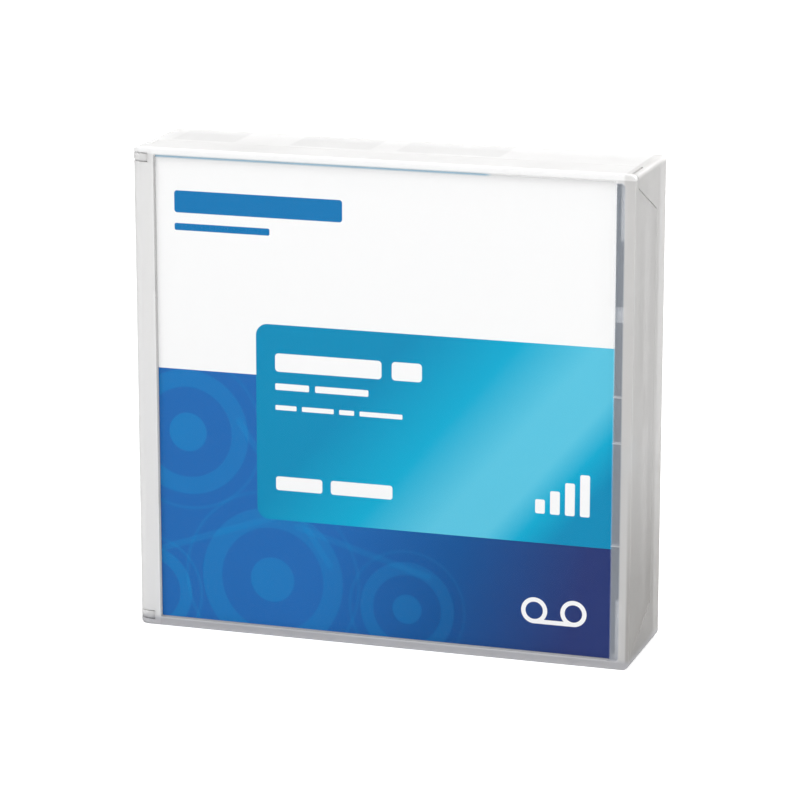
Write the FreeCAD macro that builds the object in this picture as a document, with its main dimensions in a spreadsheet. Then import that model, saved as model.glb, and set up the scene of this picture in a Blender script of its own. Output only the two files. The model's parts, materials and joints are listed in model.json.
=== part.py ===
"""Half-inch data tape cartridge lying in its closed two-part storage case.

The row frame is millimetres with +Z up. X runs along the case's width, from the hinge edge at -X to
the opening edge at +X. Y runs through its depth, from the lid's clear front at -Y to the tray's
back at +Y. The case stands on its long lower edge and the origin is at the centre of that edge.
The cartridge lies on its tray with its hub towards +Y and its label edge towards +X.
"""
import os
import re

import FreeCAD
import Part
import Sketcher

SIZES = {
    # Cartridge housing: two half shells
    "cart_thickness": 21.5,      # along Y; its length and width follow from the reel
    "shell_wall": 1.6,
    "shell_chamfer": 1.5,
    "label_recess": 0.3,
    "label_low": 38.0,           # recess ends, from the cartridge's lower edge
    "label_high": 98.0,
    "groove_width": 0.5,         # shallow lines across the top shell's label edge
    "groove_depth": 0.3,
    "groove_reach": 7.0,
    "groove_first": 25.5,        # heights above the cartridge's lower edge
    "groove_second": 48.7,
    "groove_third": 59.0,
    # Storage case: everything is built outwards from the cartridge
    "cart_fit": 0.1,             # play between the cartridge and what locates it
    "case_wall": 1.1,
    "case_corner": 1.5,
    "lip_wall": 1.15,            # tray's inner lip under the lid's rim
    "lip_gap": 0.3,
    "card_room": 2.45,           # between the lid's plate and the cartridge
    "rail_height": 1.35,         # between the cartridge and the tray's plate
    "locator_room": 3.05,        # between the channel wall and the cartridge
    "finger_room": 2.9,          # between the cartridge and the opening side's wall
    "seam_gap": 0.25,
    "rim_depth": 10.55,          # lid's rim on the upper and lower faces
    "rim_end_gap": 0.5,          # room for the rim's end to swing past the tray's corner
    "corner_depth": 2.15,        # lid's rim at the corners of the opening side
    "skirt_depth": 18.75,        # lid's wall at the middle of the opening side
    "skirt_low": 3.4,            # height where the skirt starts to deepen
    "skirt_rise": 7.3,           # height over which it deepens
    "lip_setback": 1.55,         # lips end this far behind the lid's plate
    "corner_lip_height": 15.0,
    "hub_ring_fit": 0.5,         # between the tray's ring and the cartridge's hub opening
    "hub_ring_wall": 1.2,
    "hub_ring_reach": 1.1,       # how far the ring enters the opening
    "rail_width": 1.2,
    "rail_inset": 18.0,
    "locator_inset": 22.0,
    "panel_wall": 0.6,           # thinner sight panels in the tray's upper wall
    "panel_margin": 1.5,
    "first_panel_end": 10.0,     # from the cartridge's left edge
    "second_panel_start": 23.0,
    "second_panel_end": 42.0,
    "third_panel_start": 48.0,
    "third_panel_end": 72.0,
    # Hinge and latch
    "hinge_radius": 2.8,
    "peg_radius": 0.9,
    "running_fit": 0.06,
    "knuckle_height": 1.6,
    "latch_width": 8.0,
    "latch_length": 4.0,
    "latch_gap": 0.35,
    "latch_bump": 0.2,
    "latch_pocket": 0.35,
    # Insert card and the lid's card tabs
    "card_thickness": 0.3,
    "card_play": 0.05,
    "card_tab_gap": 0.1,
    "card_left_margin": 5.4,     # from the case's outer faces
    "card_right_margin": 4.5,
    "card_low_margin": 1.9,
    "card_high_margin": 1.4,
    "tab_wall": 0.8,
    "tab_width": 3.3,
    "tab_reach": 3.0,
    "tab_post": 0.7,
    "side_tab_height": 79.6,
    "low_tab_height": 30.0,
    "rim_tab_spacing": 29.0,
    # Reel
    "tape_width": 12.65,
    "tape_play": 0.1,
    "hub_radius": 22.0,
    "hub_wall": 2.5,
    "pack_radius": 46.8,         # 46.8 makes the housing 102.0 by 105.4
    "flange_margin": 1.7,        # flanges stand out past the wound tape
    "reel_side_room": 0.9,       # from the flanges to the shells' hinge-side and label-side walls
    "reel_end_room": 2.6,        # from the flanges to the shells' lower and upper walls
    "flange_wall": 1.3,
    "collar_wall": 1.5,
    "collar_length": 2.2,
    "web_wall": 1.7,
    "web_bore": 5.5,
    "hub_step": 0.8,             # from the web to the roots of the brake teeth
    "drive_inner": 13.2,
    "drive_outer": 15.8,
    "drive_height": 1.8,
    "drive_tooth": 0.9,
    "opening_room": 2.2,         # between the drive ring and the hub opening
    # Brake, release pad and clutch plate
    "tooth_count": 60.0,
    "tooth_width": 1.2,
    "brake_tooth": 1.3,
    "mesh_gap": 0.3,
    "brake_travel": 2.0,
    "brake_wall": 2.2,
    "sleeve_radius": 6.0,
    "sleeve_length": 6.5,
    "post_size": 6.0,
    "pad_side_gap": 1.0,         # between the pad and the drive ring's bore
    "pad_wall": 1.4,
    "pad_gap": 0.4,
    "nub_radius": 1.5,
    "nub_gap": 0.05,             # between the nub and the brake
    "leg_circle": 9.5,
    "leg_radius": 1.3,
    "leg_fit": 0.3,
    "leg_proud": 0.4,            # legs stand out past the clutch plate
    "clutch_wall": 1.0,
    "clutch_gap": 0.4,
    "spring_radius": 8.2,
    "spring_wire": 0.6,
    "spring_turns": 5.0,
    # Access door
    "door_end_play": 0.2,        # between the closed door and the shells' inner chamfer
    "door_opening": 20.0,
    "door_edge": 0.6,            # window's margin to the inner faces
    "door_lap": 0.5,
    "door_wall": 1.1,
    "door_play": 0.15,
    "door_side_play": 0.3,
    "door_travel": 18.0,
    "lug_size": 1.0,
    "lug_width": 5.0,
    "rail_wall": 0.8,
    "guide_height": 1.2,
    "door_spring_length": 32.0,
    "door_spring_radius": 0.85,
    "door_spring_wire": 0.3,
    "door_spring_turns": 18.0,
    "door_spring_offset": 2.0,   # from the joint between the shells
    # Leader pin
    "pin_inset": 7.5,            # from the cartridge's faces to the pin's axis
    "pin_rise": 7.0,
    "pin_radius": 1.25,
    "pin_head_radius": 2.0,
    "pin_head_length": 1.4,
    "pin_end_gap": 0.3,
    "pin_play": 0.15,            # between the pin's heads and their seats
    "clip_radius": 1.9,
    "seat_wall": 1.1,
    "seat_height": 1.3,
    "leaf_wall": 0.25,
    "leaf_width": 2.5,
    "leaf_half": 4.6,
    "leaf_bow": 0.8,
    "leaf_gap": 0.15,            # between the leaf's crest and the seat
    "leaf_side_gap": 0.1,
    "tape_film": 0.12,
    "film_gap": 0.15,            # between the tape's end and the clip
    # Write-protect tab
    "window_low": 18.0,          # from the cartridge's lower edge
    "window_width": 5.0,
    "window_offset": 4.0,        # from the joint between the shells to its middle
    "knob_length": 5.0,
    "knob_play": 0.3,
    "slider_wall": 1.2,
    "slider_lap": 3.5,
    "slider_play": 0.1,
    "slider_travel": 4.4,
    "track_inset": 0.5,          # tracks behind the slider, from its ends
    "track_width": 2.0,
    # Memory chip
    "chip_length": 10.0,
    "chip_width": 8.0,
    "chip_wall": 1.0,
    "chip_top_inset": 17.4,      # from the cartridge's upper edge to the board's middle
    "chip_side_inset": 4.1,      # from the inner faces to the board's middle
    "chip_back_inset": 3.7,
    "chip_play": 0.1,
    # Housing screws
    "screw_inset": 5.0,
    "leaf_to_post": 1.35,        # between a pin spring and the screw post beside it
    "screw_radius": 1.0,
    "screw_play": 0.05,          # in the top shell's pilot holes
    "screw_clearance": 0.1,      # in the bottom shell's holes
    "screw_head_play": 0.2,
    "screw_head_radius": 2.4,
    "screw_head_height": 1.2,
    "screw_length": 14.0,
    "screw_sunk": 0.2,
    "screw_post_radius": 3.2,
    "recess_width": 0.6,
    "recess_length": 2.6,
}

# Places that follow from the sizes. Each is a formula on sizes and on other places.
PLACES = {
    "case_width": "2 * hinge_radius + seam_gap + case_wall + locator_room + cart_length"
                  " + finger_room + case_wall",
    "reel_radius": "pack_radius + flange_margin",
    "cart_length": "2 * (reel_radius + reel_side_room + shell_wall)",
    "cart_width": "2 * (reel_radius + reel_end_room + shell_wall)",
    "edge_room": "case_wall + lip_gap + lip_wall + cart_fit",
    "case_height": "cart_width + 2 * edge_room",
    "case_depth": "case_wall + card_room + cart_thickness + rail_height + case_wall",
    "left": "-case_width / 2",
    "right": "case_width / 2",
    "front": "-case_depth / 2",
    "back": "case_depth / 2",
    "top": "case_height",
    "plate_face": "front + case_wall",
    "tray_face": "back - case_wall",
    "lip_front": "plate_face + lip_setback",
    "lip_low": "case_wall + lip_gap",
    "lip_high": "case_wall + lip_gap + lip_wall",
    "hinge_x": "left + hinge_radius",
    "hinge_y": "front + hinge_radius",
    "channel_x": "hinge_x + hinge_radius + seam_gap",
    "channel_y": "hinge_y + hinge_radius + seam_gap",
    "rim_end": "front + rim_depth",
    "corner_end": "front + corner_depth",
    "skirt_end": "front + skirt_depth",
    "knuckle_top": "lip_low + knuckle_height",
    "cart_left": "channel_x + case_wall + locator_room",
    "cart_right": "cart_left + cart_length",
    "cart_bottom": "edge_room",
    "cart_top": "edge_room + cart_width",
    "cart_front": "plate_face + card_room",
    "cart_back": "cart_front + cart_thickness",
    "split": "(cart_front + cart_back) / 2",
    "inner_left": "cart_left + shell_wall",
    "inner_right": "cart_right - shell_wall",
    "inner_bottom": "cart_bottom + shell_wall",
    "inner_top": "cart_top - shell_wall",
    "inner_front": "cart_front + shell_wall",
    "inner_back": "cart_back - shell_wall",
    "reel_x": "(cart_left + cart_right) / 2",
    "reel_z": "(cart_bottom + cart_top) / 2",
    "flange_low": "split + tape_width / 2 + tape_play",
    "flange_high": "split - tape_width / 2 - tape_play",
    "web_out": "flange_low + flange_wall",
    "web_in": "web_out - web_wall",
    "hub_teeth": "web_in - hub_step",
    "brake_face": "hub_teeth - brake_tooth - mesh_gap",
    "brake_top": "brake_face - brake_wall",
    "post_end": "brake_top - brake_travel - mesh_gap",
    "pad_face": "brake_face + pad_gap",
    "clutch_out": "web_out + clutch_wall",
    "hub_opening": "drive_outer + opening_room",
    "pad_radius": "drive_inner - pad_side_gap",
    "door_low": "inner_bottom + door_play",
    "door_high": "door_low + door_wall",
    "door_left": "inner_left + shell_chamfer + door_end_play",
    "door_right": "door_left + door_opening + 2 * door_lap",
    "pin_x": "cart_left + pin_inset",
    "pin_z": "cart_bottom + pin_rise",
    "seat_radius": "pin_head_radius + pin_play",
    "leaf_crest": "pin_z + seat_radius + seat_wall + leaf_gap",
    "leaf_heel": "leaf_crest + leaf_bow",
    "pin_screw_z": "leaf_heel + leaf_wall + leaf_to_post + screw_post_radius",
    "window_length": "knob_length + slider_travel + 2 * knob_play",
    "window_z": "cart_bottom + window_low",
    "window_y": "split + window_offset",
    "knob_z": "window_z + knob_play",
    "slider_out": "inner_right - slider_play",
    "slider_in": "slider_out - slider_wall",
    "slider_z": "knob_z - slider_lap",
    "slider_length": "knob_length + 2 * slider_lap",
    "chip_x": "inner_right - chip_side_inset",
    "chip_y": "inner_back - chip_back_inset",
    "chip_z": "cart_top - chip_top_inset",
}

DOC = FreeCAD.newDocument("tape_cartridge")
SHEET = DOC.addObject("Spreadsheet::Sheet", "Sizes")
PIECES = []


def fill_sheet():
    """Write each driving size into the sheet, with its name beside it."""
    for row, (name, size) in enumerate(SIZES.items(), start=1):
        SHEET.set(f"A{row}", name)
        SHEET.set(f"B{row}", str(size))
        SHEET.setAlias(f"B{row}", name)
    DOC.recompute()


def formula(text):
    """Turn a formula on plain names into one that the document can bind."""
    def place(match):
        word = match.group(0)
        if word in SIZES:
            return f"Sizes.{word}"
        if word in PLACES:
            return f"({formula(PLACES[word])})"
        return word
    return re.sub(r"[a-z][a-z_]*", place, text)


def bind(thing, **formulas):
    """Bind properties to formulas; a double underscore stands for a dot."""
    for name, text in formulas.items():
        thing.setExpression(name.replace("__", "."), formula(text))


def block(x, y, z):
    """A box between two planes on each axis."""
    box = DOC.addObject("Part::Box", "block")
    bind(
        box,
        Length=f"({x[1]}) - ({x[0]})", Width=f"({y[1]}) - ({y[0]})", Height=f"({z[1]}) - ({z[0]})",
        Placement__Base__x=x[0], Placement__Base__y=y[0], Placement__Base__z=z[0],
    )
    return box


def upright(x, y, z, radius):
    """A cylinder along Z."""
    rod = DOC.addObject("Part::Cylinder", "upright")
    bind(rod, Radius=radius, Height=f"({z[1]}) - ({z[0]})",
         Placement__Base__x=x, Placement__Base__y=y, Placement__Base__z=z[0])
    return rod


def through(x, y, z, radius):
    """A cylinder along Y, from front to back."""
    rod = DOC.addObject("Part::Cylinder", "through")
    rod.Placement.Rotation = FreeCAD.Rotation(FreeCAD.Vector(1, 0, 0), -90)
    bind(rod, Radius=radius, Height=f"({y[1]}) - ({y[0]})",
         Placement__Base__x=x, Placement__Base__y=y[0], Placement__Base__z=z)
    return rod


def outline(body, role, points, offset="0"):
    """A closed sketch of straight lines, each corner held by two bound distances."""
    plane = next(item for item in body.Origin.OriginFeatures if item.Role == role)
    sketch = body.newObject("Sketcher::SketchObject", "outline")
    sketch.AttachmentSupport = [(plane, "")]
    sketch.MapMode = "FlatFace"
    bind(sketch, AttachmentOffset__Base__z=offset)
    count = len(points)
    start = [FreeCAD.Vector(index, index * index, 0) for index in range(count)]
    for index in range(count):
        sketch.addGeometry(Part.LineSegment(start[index], start[(index + 1) % count]))
    for index in range(count):
        sketch.addConstraint(Sketcher.Constraint("Coincident", index, 2, (index + 1) % count, 1))
    for index, (across, along) in enumerate(points):
        for kind, text in (("DistanceX", across), ("DistanceY", along)):
            number = sketch.addConstraint(Sketcher.Constraint(kind, -1, 1, index, 1, 1.0 + index))
            sketch.setExpression(f"Constraints[{number}]", formula(text))
    return sketch


def prism(role, points, low, high, corner=None):
    """Extrude an outline between two planes square to it, with its corners rounded if asked."""
    body = DOC.addObject("PartDesign::Body", "prism")
    faces_back = role == "XZ_Plane"
    sketch = outline(body, role, points, offset=f"-({high})" if faces_back else low)
    pad = body.newObject("PartDesign::Pad", "pad")
    pad.Profile = (sketch, [""])
    bind(pad, Length=f"({high}) - ({low})")
    if corner:
        DOC.recompute()
        axis = {"XZ_Plane": FreeCAD.Vector(0, 1, 0), "XY_Plane": FreeCAD.Vector(0, 0, 1)}[role]
        edges = [
            f"Edge{number}" for number, edge in enumerate(pad.Shape.Edges, start=1)
            if abs(edge.tangentAt(edge.FirstParameter).dot(axis)) > 0.99
        ]
        fillet = body.newObject("PartDesign::Fillet", "corners")
        fillet.Base = (pad, edges)
        bind(fillet, Radius=corner)
    return body


def turned(points, x="reel_x", z="reel_z", turn=0.0):
    """Revolve a profile of (radius, place along Y) about an axis along Y."""
    body = DOC.addObject("PartDesign::Body", "turned")
    sketch = outline(body, "XZ_Plane", points)
    revolution = body.newObject("PartDesign::Revolution", "revolution")
    revolution.Profile = (sketch, [""])
    revolution.ReferenceAxis = (sketch, ["V_Axis"])
    revolution.Angle = 360.0
    along_y = FreeCAD.Rotation(FreeCAD.Vector(1, 0, 0), -90)
    about_axis = FreeCAD.Rotation(FreeCAD.Vector(0, 1, 0), turn)
    body.Placement.Rotation = about_axis.multiply(along_y)
    bind(body, Placement__Base__x=x, Placement__Base__z=z)
    return body


def add_teeth(body, inner, outer, root, tip):
    """Add a ring of radial V teeth to a turned body, from root to tip along its axis."""
    tooth = outline(
        body, "YZ_Plane",
        [("-tooth_width / 2", root), ("tooth_width / 2", root), ("0", tip)],
        offset=inner,
    )
    pad = body.newObject("PartDesign::Pad", "tooth")
    pad.Profile = (tooth, [""])
    bind(pad, Length=f"({outer}) - ({inner})")
    DOC.recompute()
    ring = body.newObject("PartDesign::PolarPattern", "teeth")
    ring.Originals = [pad]
    ring.Axis = (next(item for item in body.Origin.OriginFeatures if item.Role == "Z_Axis"), [""])
    ring.Angle = 360.0
    bind(ring, Occurrences="tooth_count")
    body.Tip = ring


def fused(*things):
    """Join solids into one."""
    union = DOC.addObject("Part::MultiFuse", "fused")
    union.Shapes = list(things)
    union.Refine = True
    return union


def cut(base, *tools):
    """Cut solids away from a base."""
    rest = DOC.addObject("Part::Cut", "cut")
    rest.Base = base
    rest.Tool = tools[0] if len(tools) == 1 else fused(*tools)
    rest.Refine = True
    return rest


def within(*things):
    """Keep only what solids share."""
    shared = DOC.addObject("Part::MultiCommon", "within")
    shared.Shapes = list(things)
    shared.Refine = True
    return shared


def group(*things):
    """Separate identical solids that share one node."""
    compound = DOC.addObject("Part::Compound", "group")
    compound.Links = list(things)
    return compound


def piece(name, thing):
    """Name a finished sub-part."""
    thing.Label = name
    PIECES.append(thing)


def mirrored_heights(low, high):
    """The same height range measured from the case's lower edge and from its upper edge."""
    return (low, high), (f"top - ({high})", f"top - ({low})")


def case_outline():
    """The whole case as one rounded block, used to trim both halves."""
    corners = [("left", "0"), ("right", "0"), ("right", "top"), ("left", "top")]
    return prism("XZ_Plane", corners, "front", "back", corner="case_corner")


def case_lid():
    """Front moulding: plate, rolled hinge edge with pegs, rims, skirt and card tabs."""
    plate = block(("hinge_x", "right"), ("front", "plate_face"), ("0", "top"))
    rim_points = [
        ("hinge_x", "front"), ("right", "front"), ("right", "corner_end"),
        ("right - case_wall - rim_end_gap", "corner_end"),
        ("right - case_wall - rim_end_gap", "rim_end"), ("hinge_x", "rim_end"),
    ]
    rims = [prism("XY_Plane", rim_points, *span) for span in mirrored_heights("0", "case_wall")]
    skirt = prism("YZ_Plane", [
        ("front", "0"), ("front", "top"), ("corner_end", "top"), ("corner_end", "top - skirt_low"),
        ("skirt_end", "top - skirt_low - skirt_rise"), ("skirt_end", "skirt_low + skirt_rise"),
        ("corner_end", "skirt_low"), ("corner_end", "0"),
    ], "right - case_wall", "right")
    inside = ("case_wall", "top - case_wall")
    roll = cut(
        upright("hinge_x", "hinge_y", ("0", "top"), "hinge_radius"),
        upright("hinge_x", "hinge_y", inside, "hinge_radius - case_wall"),
        block(("hinge_x", "hinge_x + 2 * hinge_radius"), ("front", "front + 3 * hinge_radius"), inside),
    )
    shell = fused(plate, *rims, skirt, roll)
    knuckle_room = [
        upright("hinge_x", "hinge_y", span, "hinge_radius + seam_gap")
        for span in mirrored_heights("case_wall", "knuckle_top + seam_gap")
    ]
    latch_pocket = block(
        ("right - case_wall", "right - case_wall + latch_pocket"),
        ("skirt_end - latch_length - 2 * seam_gap", "skirt_end - seam_gap"),
        ("(top - latch_width) / 2 - seam_gap", "(top + latch_width) / 2 + seam_gap"),
    )
    shell = cut(shell, *knuckle_room, latch_pocket)
    pegs = [
        upright("hinge_x", "hinge_y", span, "peg_radius")
        for span in mirrored_heights("case_wall / 2", "knuckle_top")
    ]
    return within(fused(shell, *pegs, *card_tabs()), case_outline())


def card_tabs():
    """Small tongues on the lid that hold the card against the plate."""
    tongue = ("plate_face + card_play + card_thickness + card_tab_gap", "lip_front - lip_gap")
    post = ("plate_face - case_wall / 2", "lip_front - lip_gap")
    tabs = [block(
        ("right - case_wall - finger_room - tab_reach", "right - case_wall / 2"), tongue,
        ("side_tab_height - tab_width / 2", "side_tab_height + tab_width / 2"),
    )]
    edge = "left + card_left_margin"
    for height in ("low_tab_height", "side_tab_height"):
        span = (f"{height} - tab_width / 2", f"{height} + tab_width / 2")
        tabs.append(block((f"{edge} - tab_wall - tab_post / 2", f"{edge} - tab_post / 2"), post, span))
        tabs.append(block((f"{edge} - tab_wall - tab_post / 2", f"{edge} + tab_reach"), tongue, span))
    for x in ("-rim_tab_spacing", "rim_tab_spacing"):
        for span in mirrored_heights("case_wall / 2", "case_wall + tab_reach"):
            tabs.append(block((f"{x} - tab_width", f"{x} + tab_width"), tongue, span))
    return tabs


def case_tray():
    """Rear moulding: plate, spine, hinge channel, walls, lips, hub ring, rails and latch."""
    tray = fused(*tray_walls(), *tray_hinge(), *tray_guides(), *tray_latch())
    bores = [
        upright("hinge_x", "hinge_y", span, "peg_radius + running_fit")
        for span in mirrored_heights("lip_low - seam_gap", "knuckle_top + seam_gap")
    ]
    return within(cut(tray, *bores, *sight_panels()), case_outline())


def tray_walls():
    """Plate, flush outer walls, and the lips that slip under the lid's rims."""
    plate = block(("left", "right"), ("tray_face", "back"), ("0", "top"))
    spine = block(("left", "left + case_wall"), ("channel_y", "back"), ("0", "top"))
    opening_wall = prism("YZ_Plane", [
        ("corner_end + seam_gap", "0"),
        ("back", "0"), ("back", "top"), ("corner_end + seam_gap", "top"),
        ("corner_end + seam_gap", "top - skirt_low + seam_gap"),
        ("skirt_end + seam_gap", "top - skirt_low - skirt_rise + seam_gap"),
        ("skirt_end + seam_gap", "skirt_low + skirt_rise - seam_gap"),
        ("corner_end + seam_gap", "skirt_low - seam_gap"),
    ], "right - case_wall", "right")
    walls = [plate, spine, opening_wall]
    corner_x = ("cart_right + cart_fit", "cart_right + cart_fit + lip_wall")
    for span in mirrored_heights("0", "case_wall"):
        walls.append(block(("left", "right"), ("rim_end + seam_gap", "back"), span))
        walls.append(block(("left", "hinge_x - seam_gap"), ("channel_y", "back"), span))
    for span in mirrored_heights("case_wall / 2", "lip_high"):
        walls.append(block(
            ("channel_x", "right - case_wall / 2"),
            ("rim_end + seam_gap", "rim_end + seam_gap + case_wall"), span,
        ))
    for span in mirrored_heights("lip_low", "lip_high"):
        walls.append(block(("channel_x", corner_x[1]), ("lip_front", "rim_end + 2 * seam_gap"), span))
    for span in mirrored_heights("lip_low", "corner_lip_height"):
        walls.append(block(corner_x, ("lip_front", "back - case_wall / 2"), span))
    return walls


def tray_hinge():
    """Channel behind the lid's rolled edge, closed at both ends by the bored knuckles."""
    tall = ("lip_low", "top - lip_low")
    parts = [
        block(("left", "channel_x + case_wall"), ("channel_y", "channel_y + case_wall"), tall),
        block(("channel_x", "channel_x + case_wall"), ("lip_front", "back - case_wall / 2"), tall),
    ]
    for span in mirrored_heights("lip_low", "knuckle_top"):
        parts.append(upright("hinge_x", "hinge_y", span, "hinge_radius"))
        parts.append(block(
            ("hinge_x", "channel_x + case_wall / 2"), ("hinge_y", "channel_y + case_wall / 2"), span,
        ))
    return parts


def tray_guides():
    """Hub ring, rails under the cartridge and ribs beside it."""
    behind = ("cart_back + card_play", "back - case_wall / 2")
    ring = cut(
        through("reel_x", ("cart_back - hub_ring_reach", behind[1]), "reel_z",
                "hub_opening - hub_ring_fit"),
        through("reel_x", ("cart_front", behind[1]), "reel_z",
                "hub_opening - hub_ring_fit - hub_ring_wall"),
    )
    guides = [ring]
    across = ("cart_left + rail_inset / 2", "cart_right - rail_inset / 2")
    for x in ("cart_left + rail_inset", "cart_right - rail_inset"):
        guides.append(block(
            (f"{x} - rail_width / 2", f"{x} + rail_width / 2"), behind,
            ("cart_bottom + rail_inset / 2", "cart_top - rail_inset / 2"),
        ))
    for z in ("cart_bottom + rail_inset", "cart_top - rail_inset"):
        guides.append(block(across, behind, (f"{z} - rail_width / 2", f"{z} + rail_width / 2")))
    for z in ("cart_bottom + locator_inset", "cart_top - locator_inset"):
        guides.append(block(
            ("channel_x + case_wall / 2", "cart_left - cart_fit"),
            ("cart_front + lip_wall", "back - case_wall / 2"),
            (f"{z} - rail_width / 2", f"{z} + rail_width / 2"),
        ))
    return guides


def tray_latch():
    """Tongue behind the lid's skirt, with the low bump that snaps into its pocket."""
    width = ("(top - latch_width) / 2", "(top + latch_width) / 2")
    outer = "right - case_wall - latch_gap"
    return [
        block((f"{outer} - case_wall", outer), ("skirt_end - latch_length", "skirt_end + 2 * case_wall"),
              width),
        block((outer, "right - case_wall / 2"), ("skirt_end + 2 * seam_gap", "skirt_end + 2 * case_wall"),
              width),
        block((outer, f"{outer} + latch_bump"),
              ("skirt_end - latch_length", "skirt_end - latch_length + case_wall"), width),
    ]


def sight_panels():
    """Thinner panels in the tray's upper wall, recessed from inside."""
    spans = [
        ("left + case_wall + panel_margin", "cart_left + first_panel_end"),
        ("cart_left + second_panel_start", "cart_left + second_panel_end"),
        ("cart_left + third_panel_start", "cart_left + third_panel_end"),
    ]
    return [
        block(span, ("rim_end + seam_gap + case_wall", "tray_face - panel_margin"),
              ("top - 2 * case_wall", "top - panel_wall"))
        for span in spans
    ]


def insert_card():
    """Flat printed card behind the lid's plate."""
    return block(
        ("left + card_left_margin", "right - card_right_margin"),
        ("plate_face + card_play", "plate_face + card_play + card_thickness"),
        ("card_low_margin", "top - card_high_margin"),
    )


def chamfered(left, right, low, high):
    """Corner points of a rectangle in XZ with its corners cut off."""
    near, far = f"{left} + shell_chamfer", f"{right} - shell_chamfer"
    below, above = f"{low} + shell_chamfer", f"{high} - shell_chamfer"
    return [
        (near, low), (far, low), (right, below), (right, above),
        (far, high), (near, high), (left, above), (left, below),
    ]


def shell_tub(low, high, cavity_low, cavity_high):
    """One half shell's plate and walls, open towards the other half."""
    outer = chamfered("cart_left", "cart_right", "cart_bottom", "cart_top")
    inner = chamfered("inner_left", "inner_right", "inner_bottom", "inner_top")
    return cut(
        prism("XZ_Plane", outer, low, high),
        prism("XZ_Plane", inner, cavity_low, cavity_high),
    )


def shell_windows():
    """Openings in the side walls that both half shells share: door window and label recess."""
    door = block(
        ("door_left + door_lap", "door_left + door_lap + door_opening"),
        ("inner_front + door_edge", "inner_back - door_edge"),
        ("cart_bottom - shell_wall", "inner_bottom + shell_wall / 2"),
    )
    label = block(
        ("cart_right - label_recess", "cart_right + shell_wall"),
        ("inner_front + shell_wall", "inner_back - shell_wall"),
        ("cart_bottom + label_low", "cart_bottom + label_high"),
    )
    return [door, label]


def screw_places():
    """Centres of the four housing screws; the one beside the leader pin sits higher."""
    return [
        ("cart_left + screw_inset", "pin_screw_z"),
        ("cart_left + screw_inset", "cart_top - screw_inset"),
        ("cart_right - screw_inset", "cart_bottom + screw_inset"),
        ("cart_right - screw_inset", "cart_top - screw_inset"),
    ]


def pin_seat(span):
    """Horseshoe that holds one end of the leader pin, open towards the door."""
    return cut(
        through("pin_x", span, "pin_z", "seat_radius + seat_wall"),
        through("pin_x", span, "pin_z", "seat_radius"),
        block(("pin_x - seat_radius", "pin_x + seat_radius"), span, ("cart_bottom", "pin_z")),
    )


def door_guide(span):
    """Rib that keeps one edge of the door against the side wall."""
    return block(
        ("inner_left + shell_wall", "door_right + door_travel + shell_wall"), span,
        ("door_high + door_play", "door_high + door_play + rail_wall"),
    )


def top_shell():
    """Half shell facing the lid, with the brake's square post and the screws' pilot posts."""
    tub = shell_tub("cart_front", "split", "inner_front", "split + shell_wall")
    into = "inner_front - shell_wall / 2"
    parts = [tub, block(
        ("reel_x - post_size / 2", "reel_x + post_size / 2"), (into, "post_end"),
        ("reel_z - post_size / 2", "reel_z + post_size / 2"),
    )]
    parts += [through(x, (into, "split"), z, "screw_post_radius") for x, z in screw_places()]
    parts.append(pin_seat((into, "inner_front + seat_height")))
    parts.append(door_guide((into, "inner_front + guide_height")))
    pilots = [
        through(x, ("inner_front", "split + shell_wall"), z, "screw_radius + screw_play")
        for x, z in screw_places()
    ]
    grooves = [
        block(
            ("cart_right - groove_reach", "cart_right + shell_wall"),
            ("cart_front - shell_wall", "cart_front + groove_depth"),
            (f"cart_bottom + {height}", f"cart_bottom + {height} + groove_width"),
        )
        for height in ("groove_first", "groove_second", "groove_third")
    ]
    return cut(fused(*parts), *pilots, *grooves, *shell_windows())


def bottom_shell():
    """Half shell facing the tray, with the hub opening, screw posts, guides and chip seat."""
    tub = shell_tub("split", "cart_back", "split - shell_wall", "inner_back")
    into = "inner_back + shell_wall / 2"
    parts = [tub]
    parts += [through(x, ("split", into), z, "screw_post_radius") for x, z in screw_places()]
    parts.append(pin_seat(("inner_back - seat_height", into)))
    parts.append(door_guide(("inner_back - guide_height", into)))
    anchor = "door_right + door_spring_length"
    parts.append(block(
        (anchor, f"{anchor} + shell_wall"), ("split", into),
        ("inner_bottom - shell_wall / 2", "door_low + 2 * door_spring_radius + door_spring_wire"),
    ))
    tracks = [
        ("slider_z + track_inset", "slider_z + track_inset + track_width"),
        ("slider_z + slider_length - track_inset", "slider_z + slider_length + slider_travel"),
    ]
    for low, high in tracks:
        parts.append(block(
            ("slider_in - slider_play - slider_wall", "slider_in - slider_play"),
            ("window_y - window_width / 2", into), (low, high),
        ))
    parts += chip_ribs(into)
    cuts = [through("reel_x", ("inner_back - shell_wall", "cart_back + shell_wall"), "reel_z",
                    "hub_opening")]
    cuts.append(block(
        ("inner_right - slider_play", "cart_right + shell_wall"),
        ("window_y - window_width / 2", "window_y + window_width / 2"),
        ("window_z", "window_z + window_length"),
    ))
    for x, z in screw_places():
        cuts.append(through(x, ("split - shell_wall", "cart_back"), z, "screw_radius + screw_clearance"))
        cuts.append(through(x, ("cart_back - screw_sunk - screw_head_height", "cart_back + shell_wall"),
                            z, "screw_head_radius + screw_head_play"))
    return cut(fused(*parts), *cuts, *shell_windows())


def chip_ribs(into):
    """Two ribs between which the chip board is held."""
    ribs = []
    for low in ("chip_z - chip_length / 2 - chip_play - shell_wall",
                "chip_z + chip_length / 2 + chip_play"):
        ribs.append(block(
            ("chip_x - chip_width / 3", "inner_right + shell_wall / 2"),
            ("chip_y - chip_width / 3", into), (low, f"{low} + shell_wall"),
        ))
    return ribs


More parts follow.
